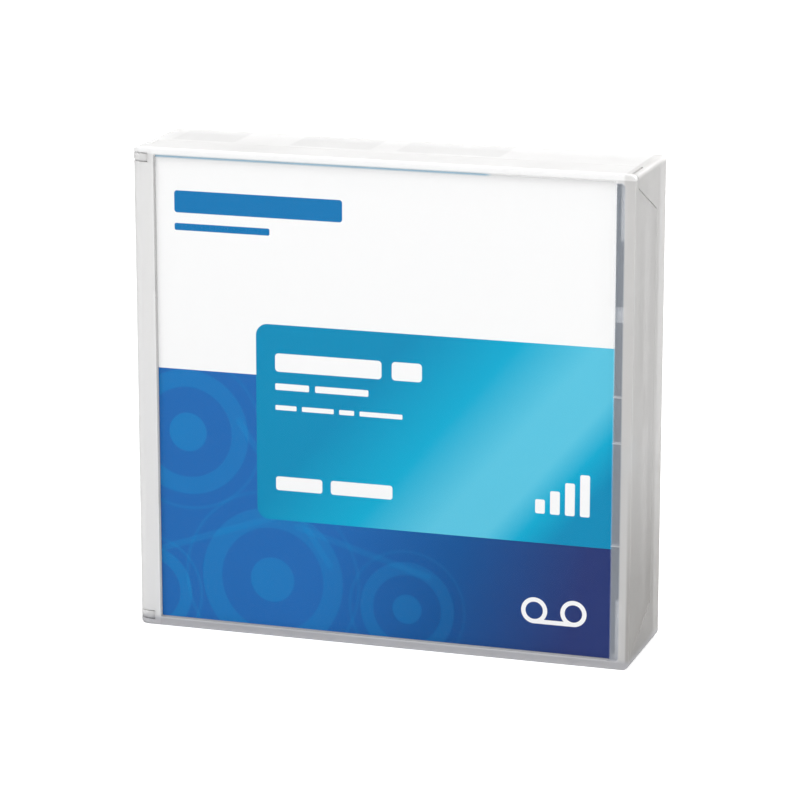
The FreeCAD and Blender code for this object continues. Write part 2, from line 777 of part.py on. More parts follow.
def memory_chip():
    """Tag board, turned 45 degrees about its long edge."""
    chip = DOC.addObject("Part::Box", "chip")
    chip.Placement.Rotation = FreeCAD.Rotation(FreeCAD.Vector(0, 0, 1), -45)
    half_across = "(chip_width * cos(45) + chip_wall * sin(45)) / 2"
    half_along = "(chip_width * sin(45) - chip_wall * cos(45)) / 2"
    bind(
        chip, Length="chip_width", Width="chip_wall", Height="chip_length",
        Placement__Base__x=f"chip_x - {half_across}", Placement__Base__y=f"chip_y + {half_along}",
        Placement__Base__z="chip_z - chip_length / 2",
    )
    return chip


def housing_screw(x, z):
    """Pan-head screw along -Y, with a plain cross recess."""
    face = "cart_back - screw_sunk"
    screw = turned([
        ("0", face), ("screw_head_radius", face),
        ("screw_head_radius", f"{face} - screw_head_height"),
        ("screw_radius", f"{face} - screw_head_height"),
        ("screw_radius", f"{face} - screw_length"), ("0", f"{face} - screw_length"),
    ], x, z)
    deep = (f"{face} - screw_head_height / 2", f"{face} + screw_head_height")
    narrow, wide = "recess_width / 2", "recess_length / 2"
    cross = fused(
        block((f"{x} - {narrow}", f"{x} + {narrow}"), deep, (f"{z} - {wide}", f"{z} + {wide}")),
        block((f"{x} - {wide}", f"{x} + {wide}"), deep, (f"{z} - {narrow}", f"{z} + {narrow}")),
    )
    return cut(screw, cross)


def access_door():
    """Flat sliding door with the lug that opens it."""
    plate = block(
        ("door_left", "door_right"),
        ("inner_front + door_side_play", "inner_back - door_side_play"), ("door_low", "door_high"),
    )
    lug = block(
        ("door_left + 2 * door_lap", "door_left + 2 * door_lap + lug_size"),
        ("split - lug_width / 2", "split + lug_width / 2"),
        ("cart_bottom + door_play", "door_low + door_wall / 2"),
    )
    return fused(plate, lug)


def coil(radius, wire, turns, length, along):
    """Round-wire helical spring; along is the axis it runs on and where it starts."""
    helix = DOC.addObject("Part::Helix", "helix")
    bind(helix, Radius=radius, Height=f"{length} - {wire}", Pitch=f"({length} - {wire}) / {turns}")
    section = DOC.addObject("Part::Circle", "section")
    bind(section, Radius=f"{wire} / 2")
    axis, (x, y, z) = along
    if axis == "Y":
        helix.Placement.Rotation = FreeCAD.Rotation(FreeCAD.Vector(1, 0, 0), -90)
        start = (x, f"{y} + {wire} / 2", z)
        rim = (f"{x} + {radius}", start[1], z)
    else:
        helix.Placement.Rotation = FreeCAD.Rotation(FreeCAD.Vector(0, 1, 0), 90)
        section.Placement.Rotation = FreeCAD.Rotation(FreeCAD.Vector(1, 0, 0), 90)
        start = (f"{x} + {wire} / 2", y, z)
        rim = (start[0], y, f"{z} - {radius}")
    for thing, place in ((helix, start), (section, rim)):
        bind(thing, Placement__Base__x=place[0], Placement__Base__y=place[1], Placement__Base__z=place[2])
    sweep = DOC.addObject("Part::Sweep", "coil")
    sweep.Sections = [section]
    sweep.Spine = helix
    sweep.Solid = True
    sweep.Frenet = True
    return sweep


def door_spring():
    """Compression spring between the door's end and its anchor."""
    axis = ("door_right", "split + door_spring_offset",
            "door_low + door_spring_radius + door_spring_wire / 2")
    return coil("door_spring_radius", "door_spring_wire", "door_spring_turns", "door_spring_length",
                ("X", axis))


def brake_spring():
    """Compression spring between the top shell and the brake's disc."""
    return coil("spring_radius", "spring_wire", "spring_turns", "(brake_top - (inner_front))",
                ("Y", ("reel_x", "inner_front", "reel_z")))


def leader_pin():
    """Turned pin with a head at each end."""
    low, high = "inner_front + pin_end_gap", "inner_back - pin_end_gap"
    return turned([
        ("0", low), ("pin_head_radius", low), ("pin_head_radius", f"{low} + pin_head_length"),
        ("pin_radius", f"{low} + pin_head_length"), ("pin_radius", f"{high} - pin_head_length"),
        ("pin_head_radius", f"{high} - pin_head_length"), ("pin_head_radius", high), ("0", high),
    ], "pin_x", "pin_z")


def leader_clip():
    """Split sleeve that clamps the tape's end on the pin."""
    half = "tape_width / 2"
    sleeve = turned([
        ("pin_radius + running_fit", f"split - {half}"), ("clip_radius", f"split - {half}"),
        ("clip_radius", f"split + {half}"), ("pin_radius + running_fit", f"split + {half}"),
    ], "pin_x", "pin_z")
    slot = block(
        ("pin_x", "pin_x + 2 * clip_radius"), ("split - tape_width", "split + tape_width"),
        ("pin_z - 2 * tape_film", "pin_z + 2 * tape_film"),
    )
    return cut(sleeve, slot)


def pin_leaf(low, high):
    """Bowed leaf spring that presses one head of the pin into its seat."""
    return prism("XZ_Plane", [
        ("pin_x - leaf_half", "leaf_heel"), ("pin_x - leaf_bow", "leaf_crest"),
        ("pin_x + leaf_bow", "leaf_crest"), ("pin_x + leaf_half", "leaf_heel"),
        ("pin_x + leaf_half", "leaf_heel + leaf_wall"), ("pin_x + leaf_bow", "leaf_crest + leaf_wall"),
        ("pin_x - leaf_bow", "leaf_crest + leaf_wall"), ("pin_x - leaf_half", "leaf_heel + leaf_wall"),
    ], low, high)


def write_protect_tab():
    """Slider behind the label edge, with its knob in the window."""
    half = "window_width / 2"
    plate = block(
        ("slider_in", "slider_out"), (f"window_y - {half} - knob_play", f"window_y + {half} + knob_play"),
        ("slider_z", "slider_z + slider_length"),
    )
    knob = block(
        ("slider_in + slider_wall / 2", "cart_right - label_recess"),
        (f"window_y - {half} + knob_play", f"window_y + {half} - knob_play"),
        ("knob_z", "knob_z + knob_length"),
    )
    return fused(plate, knob)


def reel_hub():
    """Hub, web and lower flange in one, with both toothed rings."""
    bore = "hub_radius - hub_wall"
    hub = turned([
        ("web_bore", "web_in"), ("drive_inner", "web_in"), ("drive_inner", "hub_teeth"),
        ("drive_outer", "hub_teeth"), ("drive_outer", "web_in"), (bore, "web_in"),
        (bore, "flange_high"), ("hub_radius", "flange_high"), ("hub_radius", "flange_low"),
        ("reel_radius", "flange_low"), ("reel_radius", "web_out"), ("drive_outer", "web_out"),
        ("drive_outer", "web_out + drive_height"), ("drive_inner", "web_out + drive_height"),
        ("drive_inner", "web_out"), ("web_bore", "web_out"),
    ])
    face = "web_out + drive_height"
    add_teeth(hub, "drive_inner", "drive_outer", face, f"{face} + drive_tooth")
    add_teeth(hub, "drive_inner", "drive_outer", "hub_teeth", "hub_teeth - brake_tooth")
    return cut(hub, *leg_rods(("web_in - web_wall", "web_out + web_wall"), "leg_radius + leg_fit"))


def leg_rods(span, radius):
    """Three rods on the legs' circle."""
    places = [
        ("reel_x", "reel_z + leg_circle"),
        ("reel_x - leg_circle * cos(30)", "reel_z - leg_circle * sin(30)"),
        ("reel_x + leg_circle * cos(30)", "reel_z - leg_circle * sin(30)"),
    ]
    return [through(x, span, z, radius) for x, z in places]


def reel_top_flange():
    """Flange with the collar that locates it in the hub."""
    outer = "hub_radius - hub_wall - tape_play"
    inner = f"{outer} - collar_wall"
    return turned([
        (inner, "flange_high - flange_wall"), ("reel_radius", "flange_high - flange_wall"),
        ("reel_radius", "flange_high"), (outer, "flange_high"), (outer, "flange_high + collar_length"),
        (inner, "flange_high + collar_length"),
    ])


def clutch_plate():
    """Steel washer on the hub's underside, inside the drive teeth."""
    washer = turned([
        ("web_bore", "web_out"), ("drive_inner - clutch_gap", "web_out"),
        ("drive_inner - clutch_gap", "clutch_out"), ("web_bore", "clutch_out"),
    ])
    holes = leg_rods(("web_out - web_wall", "clutch_out + web_wall"), "leg_radius + leg_fit")
    return cut(washer, *holes)


def brake_button():
    """Toothed disc with the square socket that slides on the top shell's post."""
    half_tooth = 180.0 / SHEET.get("tooth_count")
    sleeve_top = "brake_top - sleeve_length"
    disc = turned([
        ("0", sleeve_top), ("sleeve_radius", sleeve_top), ("sleeve_radius", "brake_top"),
        ("drive_outer + mesh_gap", "brake_top"), ("drive_outer + mesh_gap", "brake_face"),
        ("0", "brake_face"),
    ], turn=half_tooth)
    add_teeth(disc, "drive_inner", "drive_outer", "brake_face", "brake_face + brake_tooth")
    half = "post_size / 2 + running_fit"
    socket = block(
        (f"reel_x - ({half})", f"reel_x + {half}"),
        (f"{sleeve_top} - brake_wall", "brake_top + mesh_gap"),
        (f"reel_z - ({half})", f"reel_z + {half}"),
    )
    return cut(disc, socket)


def release_pad():
    """Pad under the brake with a centre nub and three legs that reach past the clutch plate."""
    pad = turned([
        ("0", "brake_face + nub_gap"), ("nub_radius", "brake_face + nub_gap"),
        ("nub_radius", "pad_face"), ("pad_radius", "pad_face"),
        ("pad_radius", "pad_face + pad_wall"), ("0", "pad_face + pad_wall"),
    ])
    legs = leg_rods(("pad_face + pad_wall / 2", "clutch_out + leg_proud"), "leg_radius")
    return fused(pad, *legs)


def tape_pack():
    """The wound tape, as one solid ring."""
    half, inner = "tape_width / 2", "hub_radius + tape_play"
    return turned([
        (inner, f"split - {half}"), ("pack_radius", f"split - {half}"),
        ("pack_radius", f"split + {half}"), (inner, f"split + {half}"),
    ])


def tape_free_end():
    """Straight run of tape between the clip and the pack's lowest point."""
    start = "pin_x + clip_radius + film_gap"
    low = "pin_z - tape_film / 2"
    end = "reel_z - pack_radius - tape_play"
    return prism("XZ_Plane", [
        (start, low), ("reel_x", f"{end} - tape_film"), ("reel_x", end), (start, f"{low} + tape_film"),
    ], "split - tape_width / 2", "split + tape_width / 2")


def build():
    """Build every sub-part in the order in which it is put together."""
    fill_sheet()
    piece("case_tray", case_tray())
    piece("case_lid", case_lid())
    piece("insert_card", insert_card())
    piece("cartridge_top_shell", top_shell())
    piece("cartridge_bottom_shell", bottom_shell())
    piece("cartridge_screws", group(*[housing_screw(x, z) for x, z in screw_places()]))
    piece("access_door", access_door())
    piece("door_spring", door_spring())
    piece("write_protect_tab", write_protect_tab())
    piece("memory_chip", memory_chip())
    piece("leader_pin", leader_pin())
    piece("leader_clip", leader_clip())
    piece("pin_springs", group(
        pin_leaf("inner_front + leaf_side_gap", "inner_front + leaf_side_gap + leaf_width"),
        pin_leaf("inner_back - leaf_side_gap - leaf_width", "inner_back - leaf_side_gap"),
    ))
    piece("tape_pack", tape_pack())
    piece("tape_free_end", tape_free_end())
    piece("reel_hub", reel_hub())
    piece("reel_top_flange", reel_top_flange())
    piece("clutch_plate", clutch_plate())
    piece("brake_button", brake_button())
    piece("brake_spring", brake_spring())
    piece("release_pad", release_pad())
    DOC.recompute()


def check():
    """Stop if any object of the document failed or any sub-part isn't a sound solid."""
    for thing in DOC.Objects:
        if {"Invalid", "Error"} & set(thing.State):
            raise RuntimeError(f"{thing.Name} ({thing.Label}) failed: {thing.State}")
    for thing in PIECES:
        if thing.Shape.isNull() or not thing.Shape.isValid() or not thing.Shape.Solids:
            raise RuntimeError(f"{thing.Label} is not a sound solid")


def export():
    """Write each sub-part to its own file."""
    os.makedirs("parts", exist_ok=True)
    for thing in PIECES:
        thing.Shape.exportStep(f"parts/{thing.Label}.step")
        print(f"{thing.Label}: {len(thing.Shape.Solids)} solid(s), {thing.Shape.Volume:.1f} mm3")


build()
check()
export()
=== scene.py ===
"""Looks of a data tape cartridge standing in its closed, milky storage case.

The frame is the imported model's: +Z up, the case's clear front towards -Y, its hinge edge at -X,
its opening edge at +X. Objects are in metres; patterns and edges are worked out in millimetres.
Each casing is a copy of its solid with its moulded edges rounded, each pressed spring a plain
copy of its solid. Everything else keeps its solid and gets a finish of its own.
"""
import json
import math

import bmesh
import bpy
from mathutils import Euler, Matrix, Vector


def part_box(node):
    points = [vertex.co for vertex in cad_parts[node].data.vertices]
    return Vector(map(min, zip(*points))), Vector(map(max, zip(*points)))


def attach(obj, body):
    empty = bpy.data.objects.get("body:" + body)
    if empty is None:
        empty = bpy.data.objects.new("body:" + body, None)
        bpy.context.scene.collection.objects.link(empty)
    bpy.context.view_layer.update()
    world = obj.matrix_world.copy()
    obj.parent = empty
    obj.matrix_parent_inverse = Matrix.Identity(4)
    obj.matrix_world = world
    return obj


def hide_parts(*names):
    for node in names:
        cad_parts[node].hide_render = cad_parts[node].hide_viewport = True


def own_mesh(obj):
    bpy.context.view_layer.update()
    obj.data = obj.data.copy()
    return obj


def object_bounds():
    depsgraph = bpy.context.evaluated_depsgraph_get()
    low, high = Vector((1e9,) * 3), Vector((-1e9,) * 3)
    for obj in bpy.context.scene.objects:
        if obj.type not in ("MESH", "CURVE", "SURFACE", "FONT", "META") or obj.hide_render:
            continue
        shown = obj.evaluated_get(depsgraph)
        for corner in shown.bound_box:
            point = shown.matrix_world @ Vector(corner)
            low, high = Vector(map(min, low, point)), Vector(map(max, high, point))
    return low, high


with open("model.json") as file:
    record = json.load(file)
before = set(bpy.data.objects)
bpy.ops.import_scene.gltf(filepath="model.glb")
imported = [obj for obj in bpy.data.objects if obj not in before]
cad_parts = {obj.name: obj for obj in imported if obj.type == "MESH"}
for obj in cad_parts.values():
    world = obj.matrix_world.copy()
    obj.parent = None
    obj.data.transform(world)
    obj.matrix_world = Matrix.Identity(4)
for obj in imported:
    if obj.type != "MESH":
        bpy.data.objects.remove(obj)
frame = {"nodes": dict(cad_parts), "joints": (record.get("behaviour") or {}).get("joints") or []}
cad_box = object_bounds()

MM = 0.001

# Corners of the main solids, in millimetres
CASE_LOW, CASE_HIGH = (Vector(corner) / MM for corner in cad_box)
CARD_LOW, CARD_HIGH = (Vector(corner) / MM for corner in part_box("insert_card"))
REEL_LOW, REEL_HIGH = (Vector(corner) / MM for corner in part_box("tape_pack"))
SHELL_LOW = Vector(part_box("cartridge_top_shell")[0]) / MM
SHELL_HIGH = Vector(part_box("cartridge_bottom_shell")[1]) / MM

# Moulded details of the solids that finishes and pieces fit, in millimetres
CASE_CORNER = 1.5
PLATE_DEPTH = 1.6                 # takes in the whole thickness of a front or back plate
RIM_START = 2.8                   # from the opening side, where the lid's rim begins
SIDE_DEPTH = 1.0
RIB_HEIGHTS = (61.7, 51.4, 28.2)  # moulded lines in the thin strip beside the card
SIGHT_SPANS = ((-53, -38), (-25, -6), (0, 24))
LABEL_LOW, LABEL_HIGH = 38.0, 98.0
LABEL_RECESS = 0.3
LABEL_MARGIN = 3.6
LABEL_THICKNESS = 0.12

# Milky plastic, with the painted shade and painted light that its colour is mixed towards
MILK = ((0.84, 0.835, 0.83, 1), (0.92, 0.915, 0.91, 1))
# Painted light for the strip above the card
ABOVE_CARD_PAINTED_LIGHT = (0.965, 0.965, 0.965, 1)
THIN_MILK = (0.76, 0.82, 0.93, 1)
# Painted shade for the opening side, a warm grey
SIDE_PAINTED_SHADE = (0.46, 0.445, 0.43, 1)
# Painted shade for the foot, a bluish grey
FOOT_PAINTED_SHADE = (0.53, 0.53, 0.56, 1)

# Inks of the card
PAPER = (0.96, 0.96, 0.96, 1)
NAVY = (0.020, 0.038, 0.170, 1)
DEEP_BLUE = (0.004, 0.085, 0.300, 1)
MID_BLUE = (0.013, 0.140, 0.450, 1)
SOFT_BLUE = (0.008, 0.250, 0.580, 1)
BAR_BLUE = (0.005, 0.185, 0.460, 1)
TEAL = (0.000, 0.262, 0.485, 1)
CYAN = (0.000, 0.405, 0.640, 1)
PALE_CYAN = (0.105, 0.565, 0.760, 1)
EDGE_BLUE = (0.400, 0.610, 0.760, 1)

# Light the world sheds on the object, where 1 is what the eye sees of it
AMBIENT = 0.46


# Shader maths ---------------------------------------------------------------------------------

class Wire:
    """A node's output that does arithmetic: each operator adds its Math node."""

    def __init__(self, graph, socket):
        self.graph = graph
        self.socket = socket

    def maths(self, operation, *values):
        """Add one Math node on these values."""
        inputs = dict(enumerate(values))
        return self.graph.add("ShaderNodeMath", {"operation": operation}, inputs)

    def __add__(self, other):
        return self.maths("ADD", self, other)

    def __radd__(self, other):
        return self.maths("ADD", other, self)

    def __sub__(self, other):
        return self.maths("SUBTRACT", self, other)

    def __rsub__(self, other):
        return self.maths("SUBTRACT", other, self)

    def __mul__(self, other):
        return self.maths("MULTIPLY", self, other)

    def __rmul__(self, other):
        return self.maths("MULTIPLY", other, self)

    def __truediv__(self, other):
        return self.maths("DIVIDE", self, other)

    def __pow__(self, other):
        return self.maths("POWER", self, other)

    def __abs__(self):
        return self.maths("ABSOLUTE", self)

    def least(self, other):
        """The smaller of two values."""
        return self.maths("MINIMUM", self, other)

    def most(self, other):
        """The larger of two values."""
        return self.maths("MAXIMUM", self, other)

    def below(self, limit):
        """1 where the value is under a limit."""
        return self.maths("LESS_THAN", self, limit)

    def sine(self):
        """The sine of a value in radians."""
        return self.maths("SINE", self)

    def clipped(self):
        """The value held between 0 and 1."""
        return self.most(0.0).least(1.0)

    def inside(self, blur=0.07):
        """1 where a signed distance is negative, with an edge this soft."""
        return (0.5 - self / blur).clipped()

    def towards(self, other, share):
        """This value where the share is 0, and the other where it is 1."""
        return self * (1 - share) + other * share


class Graph:
    """A node tree that is built in code."""

    def __init__(self, tree):
        self.tree = tree

    def add(self, kind, settings, inputs, output=0):
        """Add a node of this type, with its settings first and then its inputs."""
        node = self.tree.nodes.new(kind)
        for name, value in settings.items():
            if name == "stops":
                self.set_stops(node.color_ramp, value)
            else:
                setattr(node, name, value)
        for socket, value in inputs.items():
            if isinstance(value, Wire):
                self.tree.links.new(value.socket, node.inputs[socket])
            else:
                node.inputs[socket].default_value = value
        return Wire(self, node.outputs[output])

    @staticmethod
    def set_stops(ramp, stops):
        """Give a colour ramp these (place, colour) stops."""
        while len(ramp.elements) < len(stops):
            ramp.elements.new(1.0)
        for element, (place, colour) in zip(ramp.elements, stops):
            element.position = place
            element.color = colour


class Finish(Graph):
    """A Principled material. Its places and sizes are in millimetres."""

    def __init__(self, name, **constants):
        self.material = bpy.data.materials.new(name)
        self.material.use_nodes = True
        super().__init__(self.material.node_tree)
        self.shader = self.tree.nodes["Principled BSDF"]
        for socket, value in constants.items():
            self.shader.inputs[socket.replace("_", " ")].default_value = value
        self.place = self.add("ShaderNodeTexCoord", {}, {}, "Object")
        self.x, self.y, self.z = (
            self.add("ShaderNodeSeparateXYZ", {}, {"Vector": self.place}, axis) / MM
            for axis in "XYZ"
        )

    def drive(self, socket, wire):
        """Feed a socket of the shader."""
        self.tree.links.new(wire.socket, self.shader.inputs[socket])

    def noise(self, size, detail=2.0, stretch=(1, 1, 1)):
        """Noise whose features are about this large."""
        place = self.add("ShaderNodeMapping", {}, {"Vector": self.place, "Scale": stretch})
        inputs = {"Vector": place, "Scale": 1 / (size * MM), "Detail": detail}
        return self.add("ShaderNodeTexNoise", {}, inputs)

    def ramp(self, place, stops):
        """A colour from a place between 0 and 1 and these stops."""
        return self.add("ShaderNodeValToRGB", {"stops": stops}, {"Fac": place})

    def mix(self, factor, first, second):
        """A colour between two colours."""
        inputs = {"Factor": factor, 6: first, 7: second}
        return self.add("ShaderNodeMix", {"data_type": "RGBA"}, inputs, 2)

    def bump(self, height, depth):
        """Feed the normal from a height between 0 and 1, this deep."""
        inputs = {"Height": height, "Distance": depth * MM, "Strength": 1.0}
        self.drive("Normal", self.add("ShaderNodeBump", {}, inputs))

    def box(self, across, up, spans, radius):
        """Signed distance to a rounded rectangle with these spans across and up."""
        (left, right), (low, high) = spans
        dx = abs(across - (left + right) / 2) - ((right - left) / 2 - radius)
        dz = abs(up - (low + high) / 2) - ((high - low) / 2 - radius)
        outside = (dx.most(0.0) ** 2 + dz.most(0.0) ** 2) ** 0.5
        return outside + dx.most(dz).least(0.0) - radius

    def circle(self, across, up, centre, radius):
        """Signed distance to a circle."""
        return ((across - centre[0]) ** 2 + (up - centre[1]) ** 2) ** 0.5 - radius

    def stroke(self, across, up, start, end, width):
        """Signed distance to a straight stroke with round ends."""
        run = Vector(end) - Vector(start)
        length = run.length
        ahead = ((across - start[0]) * run.x + (up - start[1]) * run.y) / length
        aside = ((up - start[1]) * run.x - (across - start[0]) * run.y) / length
        spans = ((-width / 2, length + width / 2), (-width / 2, width / 2))
        return self.box(ahead, aside, spans, width / 2)


# Milky case -----------------------------------------------------------------------------------

def milky(name, window):
    """Milky polypropylene. The lid's plate is clear over the card and thin beside it. Its colour
    has painted shade on the opening side and along the foot, and painted light on the strip above
    the card.
    """
    finish = Finish(
        name, IOR=1.49, Specular_IOR_Level=0.40, Coat_Weight=0.10, Coat_Roughness=0.14,
        Subsurface_Weight=0.5, Subsurface_Scale=1.6 * MM, Subsurface_Radius=(1, 1, 1),
    )
    cloud = finish.noise(26, 3.0, (1, 1, 0.5))
    peel = finish.noise(1.8, 2.0)
    tint = finish.mix(cloud, *MILK)
    veil = 0.58 + 0.20 * cloud
    height = peel
    rough = 0.24 + 0.10 * peel + 0.08 * cloud
    if window:
        plate = finish.y.below(CASE_LOW.y + PLATE_DEPTH)
        above = ((finish.z - CARD_HIGH.z) / 0.3).clipped() * plate
        hinge_side = finish.x.below(CARD_LOW.x) * plate
        beside = card_strip(finish) * plate
        over = card_pane(finish) * plate
        # Painted light: the strip above the card tinted brighter than the milk around it; its
        # thicker veil below is the solid wall's own
        tint = finish.mix(above, tint, ABOVE_CARD_PAINTED_LIGHT)
        tint = finish.mix(beside, tint, THIN_MILK)
        veil = veil.towards(0.82, hinge_side).towards(0.90, above)
        veil = veil.towards(0.18, beside).towards(0.004, over)
        rough = rough.towards(0.08, over)
    else:
        plate = (CASE_HIGH.y - PLATE_DEPTH - finish.y).below(0.0)
        spans = ((CASE_LOW.x + 4, CASE_HIGH.x - 3), (3.0, CASE_HIGH.z - 3))
        middle = finish.box(finish.x, finish.z, spans, 2.0).inside(4.0) * plate
        veil = veil.towards(0.62, sight_panels(finish)).towards(0.30 + 0.12 * cloud, middle)
        height = peel + 3.0 * ejector_marks(finish) * plate
    # Painted shade: darker and bluer along the lowest few millimetres
    foot = ((2.4 - finish.z) / 0.9).clipped() * 0.9
    # Painted shade: the opening side tinted greyer and warmer, more so towards its foot
    tint = finish.mix(painted_side_shade(finish), tint, SIDE_PAINTED_SHADE)
    finish.drive("Base Color", finish.mix(foot, tint, FOOT_PAINTED_SHADE))
    finish.drive("Alpha", veil)
    finish.drive("Roughness", rough)
    finish.bump(height, 0.008)
    return finish.material


def painted_side_shade(finish):
    """How much painted shade greys the opening side: a little from where the lid's rim begins,
    more on the side face towards its foot.
    """
    rim = ((finish.x - (CASE_HIGH.x - RIM_START)) / 0.5).clipped()
    side = ((finish.x - (CASE_HIGH.x - SIDE_DEPTH)) / 0.5).clipped()
    return 0.42 * rim + 0.85 * side * ((48 - finish.z) / 44).clipped()


def card_pane(finish):
    """1 over the card."""
    spans = (
        (CARD_LOW.x + 0.1, CARD_HIGH.x + 0.05), (CARD_LOW.z + 0.1, CARD_HIGH.z - 0.05),
    )
    return finish.box(finish.x, finish.z, spans, 0.3).inside(0.2)


def card_strip(finish):
    """1 beside the card's free edge, where the plate is thin, between its moulded lines."""
    spans = ((CARD_HIGH.x - 1.0, CARD_HIGH.x + 2.05), (CARD_LOW.z, CARD_HIGH.z - 0.6))
    strip = finish.box(finish.x, finish.z, spans, 0.8).inside(0.35)
    for height in RIB_HEIGHTS:
        strip = strip * (1 - 0.6 * (abs(finish.z - height) - 0.14).inside(0.12))
    return strip


def sight_panels(finish):
    """1 in the thinner panels of the upper wall."""
    depth = (CASE_LOW.y + 12.6, CASE_HIGH.y - 2.6)
    panels = joined([
        finish.box(finish.x, finish.y, (span, depth), 1.0).inside(0.8) for span in SIGHT_SPANS
    ])
    return panels * (CASE_HIGH.z - 1.3 - finish.z).below(0.0)


def ejector_marks(finish):
    """Rings left by the mould's ejector pins, and the small disc of its gate."""
    gate = finish.circle(finish.x, finish.z, (0, CASE_HIGH.z / 2), 0.9).inside()
    rings = [
        (abs(finish.circle(finish.x, finish.z, (across, up), 2.6)) - 0.1).inside()
        for across in (-46, 46) for up in (12, 55, 99)
    ]
    return joined([gate] + rings)


def joined(masks):
    """1 wherever one of these masks is."""
    whole = masks[0]
    for mask in masks[1:]:
        whole = whole.most(mask)
    return whole


# Printed card ---------------------------------------------------------------------------------

def card_print():
    """The coated card: plain white above, a blue field below and a cyan panel."""
    finish = Finish("printed_card", IOR=1.45, Specular_IOR_Level=0.12, Coat_Weight=0.0)
    across = finish.x - CARD_LOW.x
    up = finish.z - CARD_LOW.z
    width = CARD_HIGH.x - CARD_LOW.x
    height = CARD_HIGH.z - CARD_LOW.z
    share = (across / width).clipped()
    field = [(0.0, MID_BLUE), (0.42, MID_BLUE), (0.72, DEEP_BLUE), (1.0, NAVY)]
    blue = finish.ramp(share + 0.10 - 0.0022 * up, field)
    blue = finish.mix(reel_motif(finish, across, up) * (1.0 - 0.9 * share), blue, SOFT_BLUE)
    ink = finish.mix((up - 0.545 * height).inside(), PAPER, blue)

    panel_left = 0.222 * width
    panel_low = 0.235 * height
    spans = ((panel_left, width + 6), (panel_low, 0.655 * height))
    panel = finish.box(across, up, spans, 2.8).inside()
    slant = 0.76 * (across - panel_left) - 0.65 * (up - panel_low)
    band = [
        (0.30, TEAL), (0.50, CYAN), (0.64, PALE_CYAN), (0.74, PALE_CYAN), (0.80, CYAN),
        (0.87, TEAL),
    ]
    ink = finish.mix(panel, ink, finish.ramp((slant + 30) / 95, band))

    ink = finish.mix(white_shapes(finish, across, up, panel_left), ink, PAPER)
    ink = finish.mix(blue_bars(finish, across, up), ink, BAR_BLUE)
    trimmed = (height - 0.7 - up).inside(0.4) * (across - 0.73 * width).inside(1.5)
    ink = finish.mix(trimmed, ink, EDGE_BLUE)
    printed = finish.y.below(CARD_LOW.y + 0.1)
    finish.drive("Base Color", finish.mix(printed, PAPER, ink))
    fibre = finish.noise(0.8, 4.0)
    finish.drive("Roughness", 0.34 + 0.12 * fibre)
    finish.bump(fibre, 0.002)
    return finish.material


def reel_motif(finish, across, up):
    """Tone on tone: reels seen from the side, and the tape that runs between them."""
    tone = 0.0
    reels = (((7, 44), 12.5), ((27, 11), 14.5), ((59, 7), 9.5), ((-3, 6), 9.0))
    for centre, radius in reels:
        wound = abs(finish.circle(across, up, centre, radius)) - 0.16 * radius
        core = finish.circle(across, up, centre, 0.36 * radius)
        rim = abs(finish.circle(across, up, centre, 1.42 * radius)) - 0.35
        tone = tone + 0.42 * wound.inside() + 0.55 * core.inside() + 0.22 * rim.inside()
    runs = (((19.3, 47.5), (40.8, 15.5)), ((33.0, 23.9), (64.0, 15.0)), ((-3, 15), (27, 25.5)))
    for start, end in runs:
        tone = tone + 0.30 * finish.stroke(across, up, start, end, 1.5).inside()
    return tone.clipped()


def blue_bars(finish, across, up):
    """Two plain bars on the white, in place of words."""
    top = CARD_HIGH.z - CARD_LOW.z
    heavy = finish.box(across, up, ((4.5, 44.0), (top - 13.0, top - 8.0)), 0.7)
    light = finish.box(across, up, ((4.5, 27.0), (top - 17.0, top - 15.4)), 0.4)
    return heavy.inside().most(light.inside())


def white_shapes(finish, across, up, left):
    """Plain white bars, rising columns, and two small reels joined by their tape."""
    right = CARD_HIGH.x - CARD_LOW.x
    shapes = []
    rows = (
        (59.6, 4.2, (25.0, 7.0)), (55.4, 1.5, (8.0, 12.5)), (50.8, 1.1, (5.0, 7.5, 3.5, 10.0)),
        (32.2, 3.2, (11.0, 14.5)),
    )
    for base, thick, lengths in rows:
        start = left + 4.5
        for length in lengths:
            spans = ((start, start + length), (base, base + thick))
            shapes.append(finish.box(across, up, spans, 0.2 * thick))
            start += length + 0.9 + 0.35 * thick
    for step in range(4):
        start = right - 17.5 + 3.4 * step
        spans = ((start, start + 2.2), (32.0, 35.2 + 2.1 * step))
        shapes.append(finish.box(across, up, spans, 0.4))
    for centre in (right - 17.5, right - 8.5):
        shapes.append(abs(finish.circle(across, up, (centre, 9.6), 2.5)) - 0.5)
    shapes.append(finish.stroke(across, up, (right - 17.5, 7.1), (right - 8.5, 7.1), 1.0))
    return joined([shape.inside() for shape in shapes])


# Cartridge and reel ---------------------------------------------------------------------------

def moulded(name, colour, depth=0.02, rough=0.42):
    """Moulded plastic: spark-eroded grain, faint flow clouds and rubbed high spots."""
    finish = Finish(name, IOR=1.5)
    grains = finish.noise(0.5, 3.0)
    cloud = finish.noise(14, 2.0)
    lighter = tuple(min(1.0, 1.35 * value + 0.004) for value in colour) + (1,)
    finish.drive("Base Color", finish.mix(0.65 * cloud, colour + (1,), lighter))
    finish.drive("Roughness", rough + 0.12 * grains + 0.08 * cloud)
    finish.bump(grains, depth)
    return finish.material


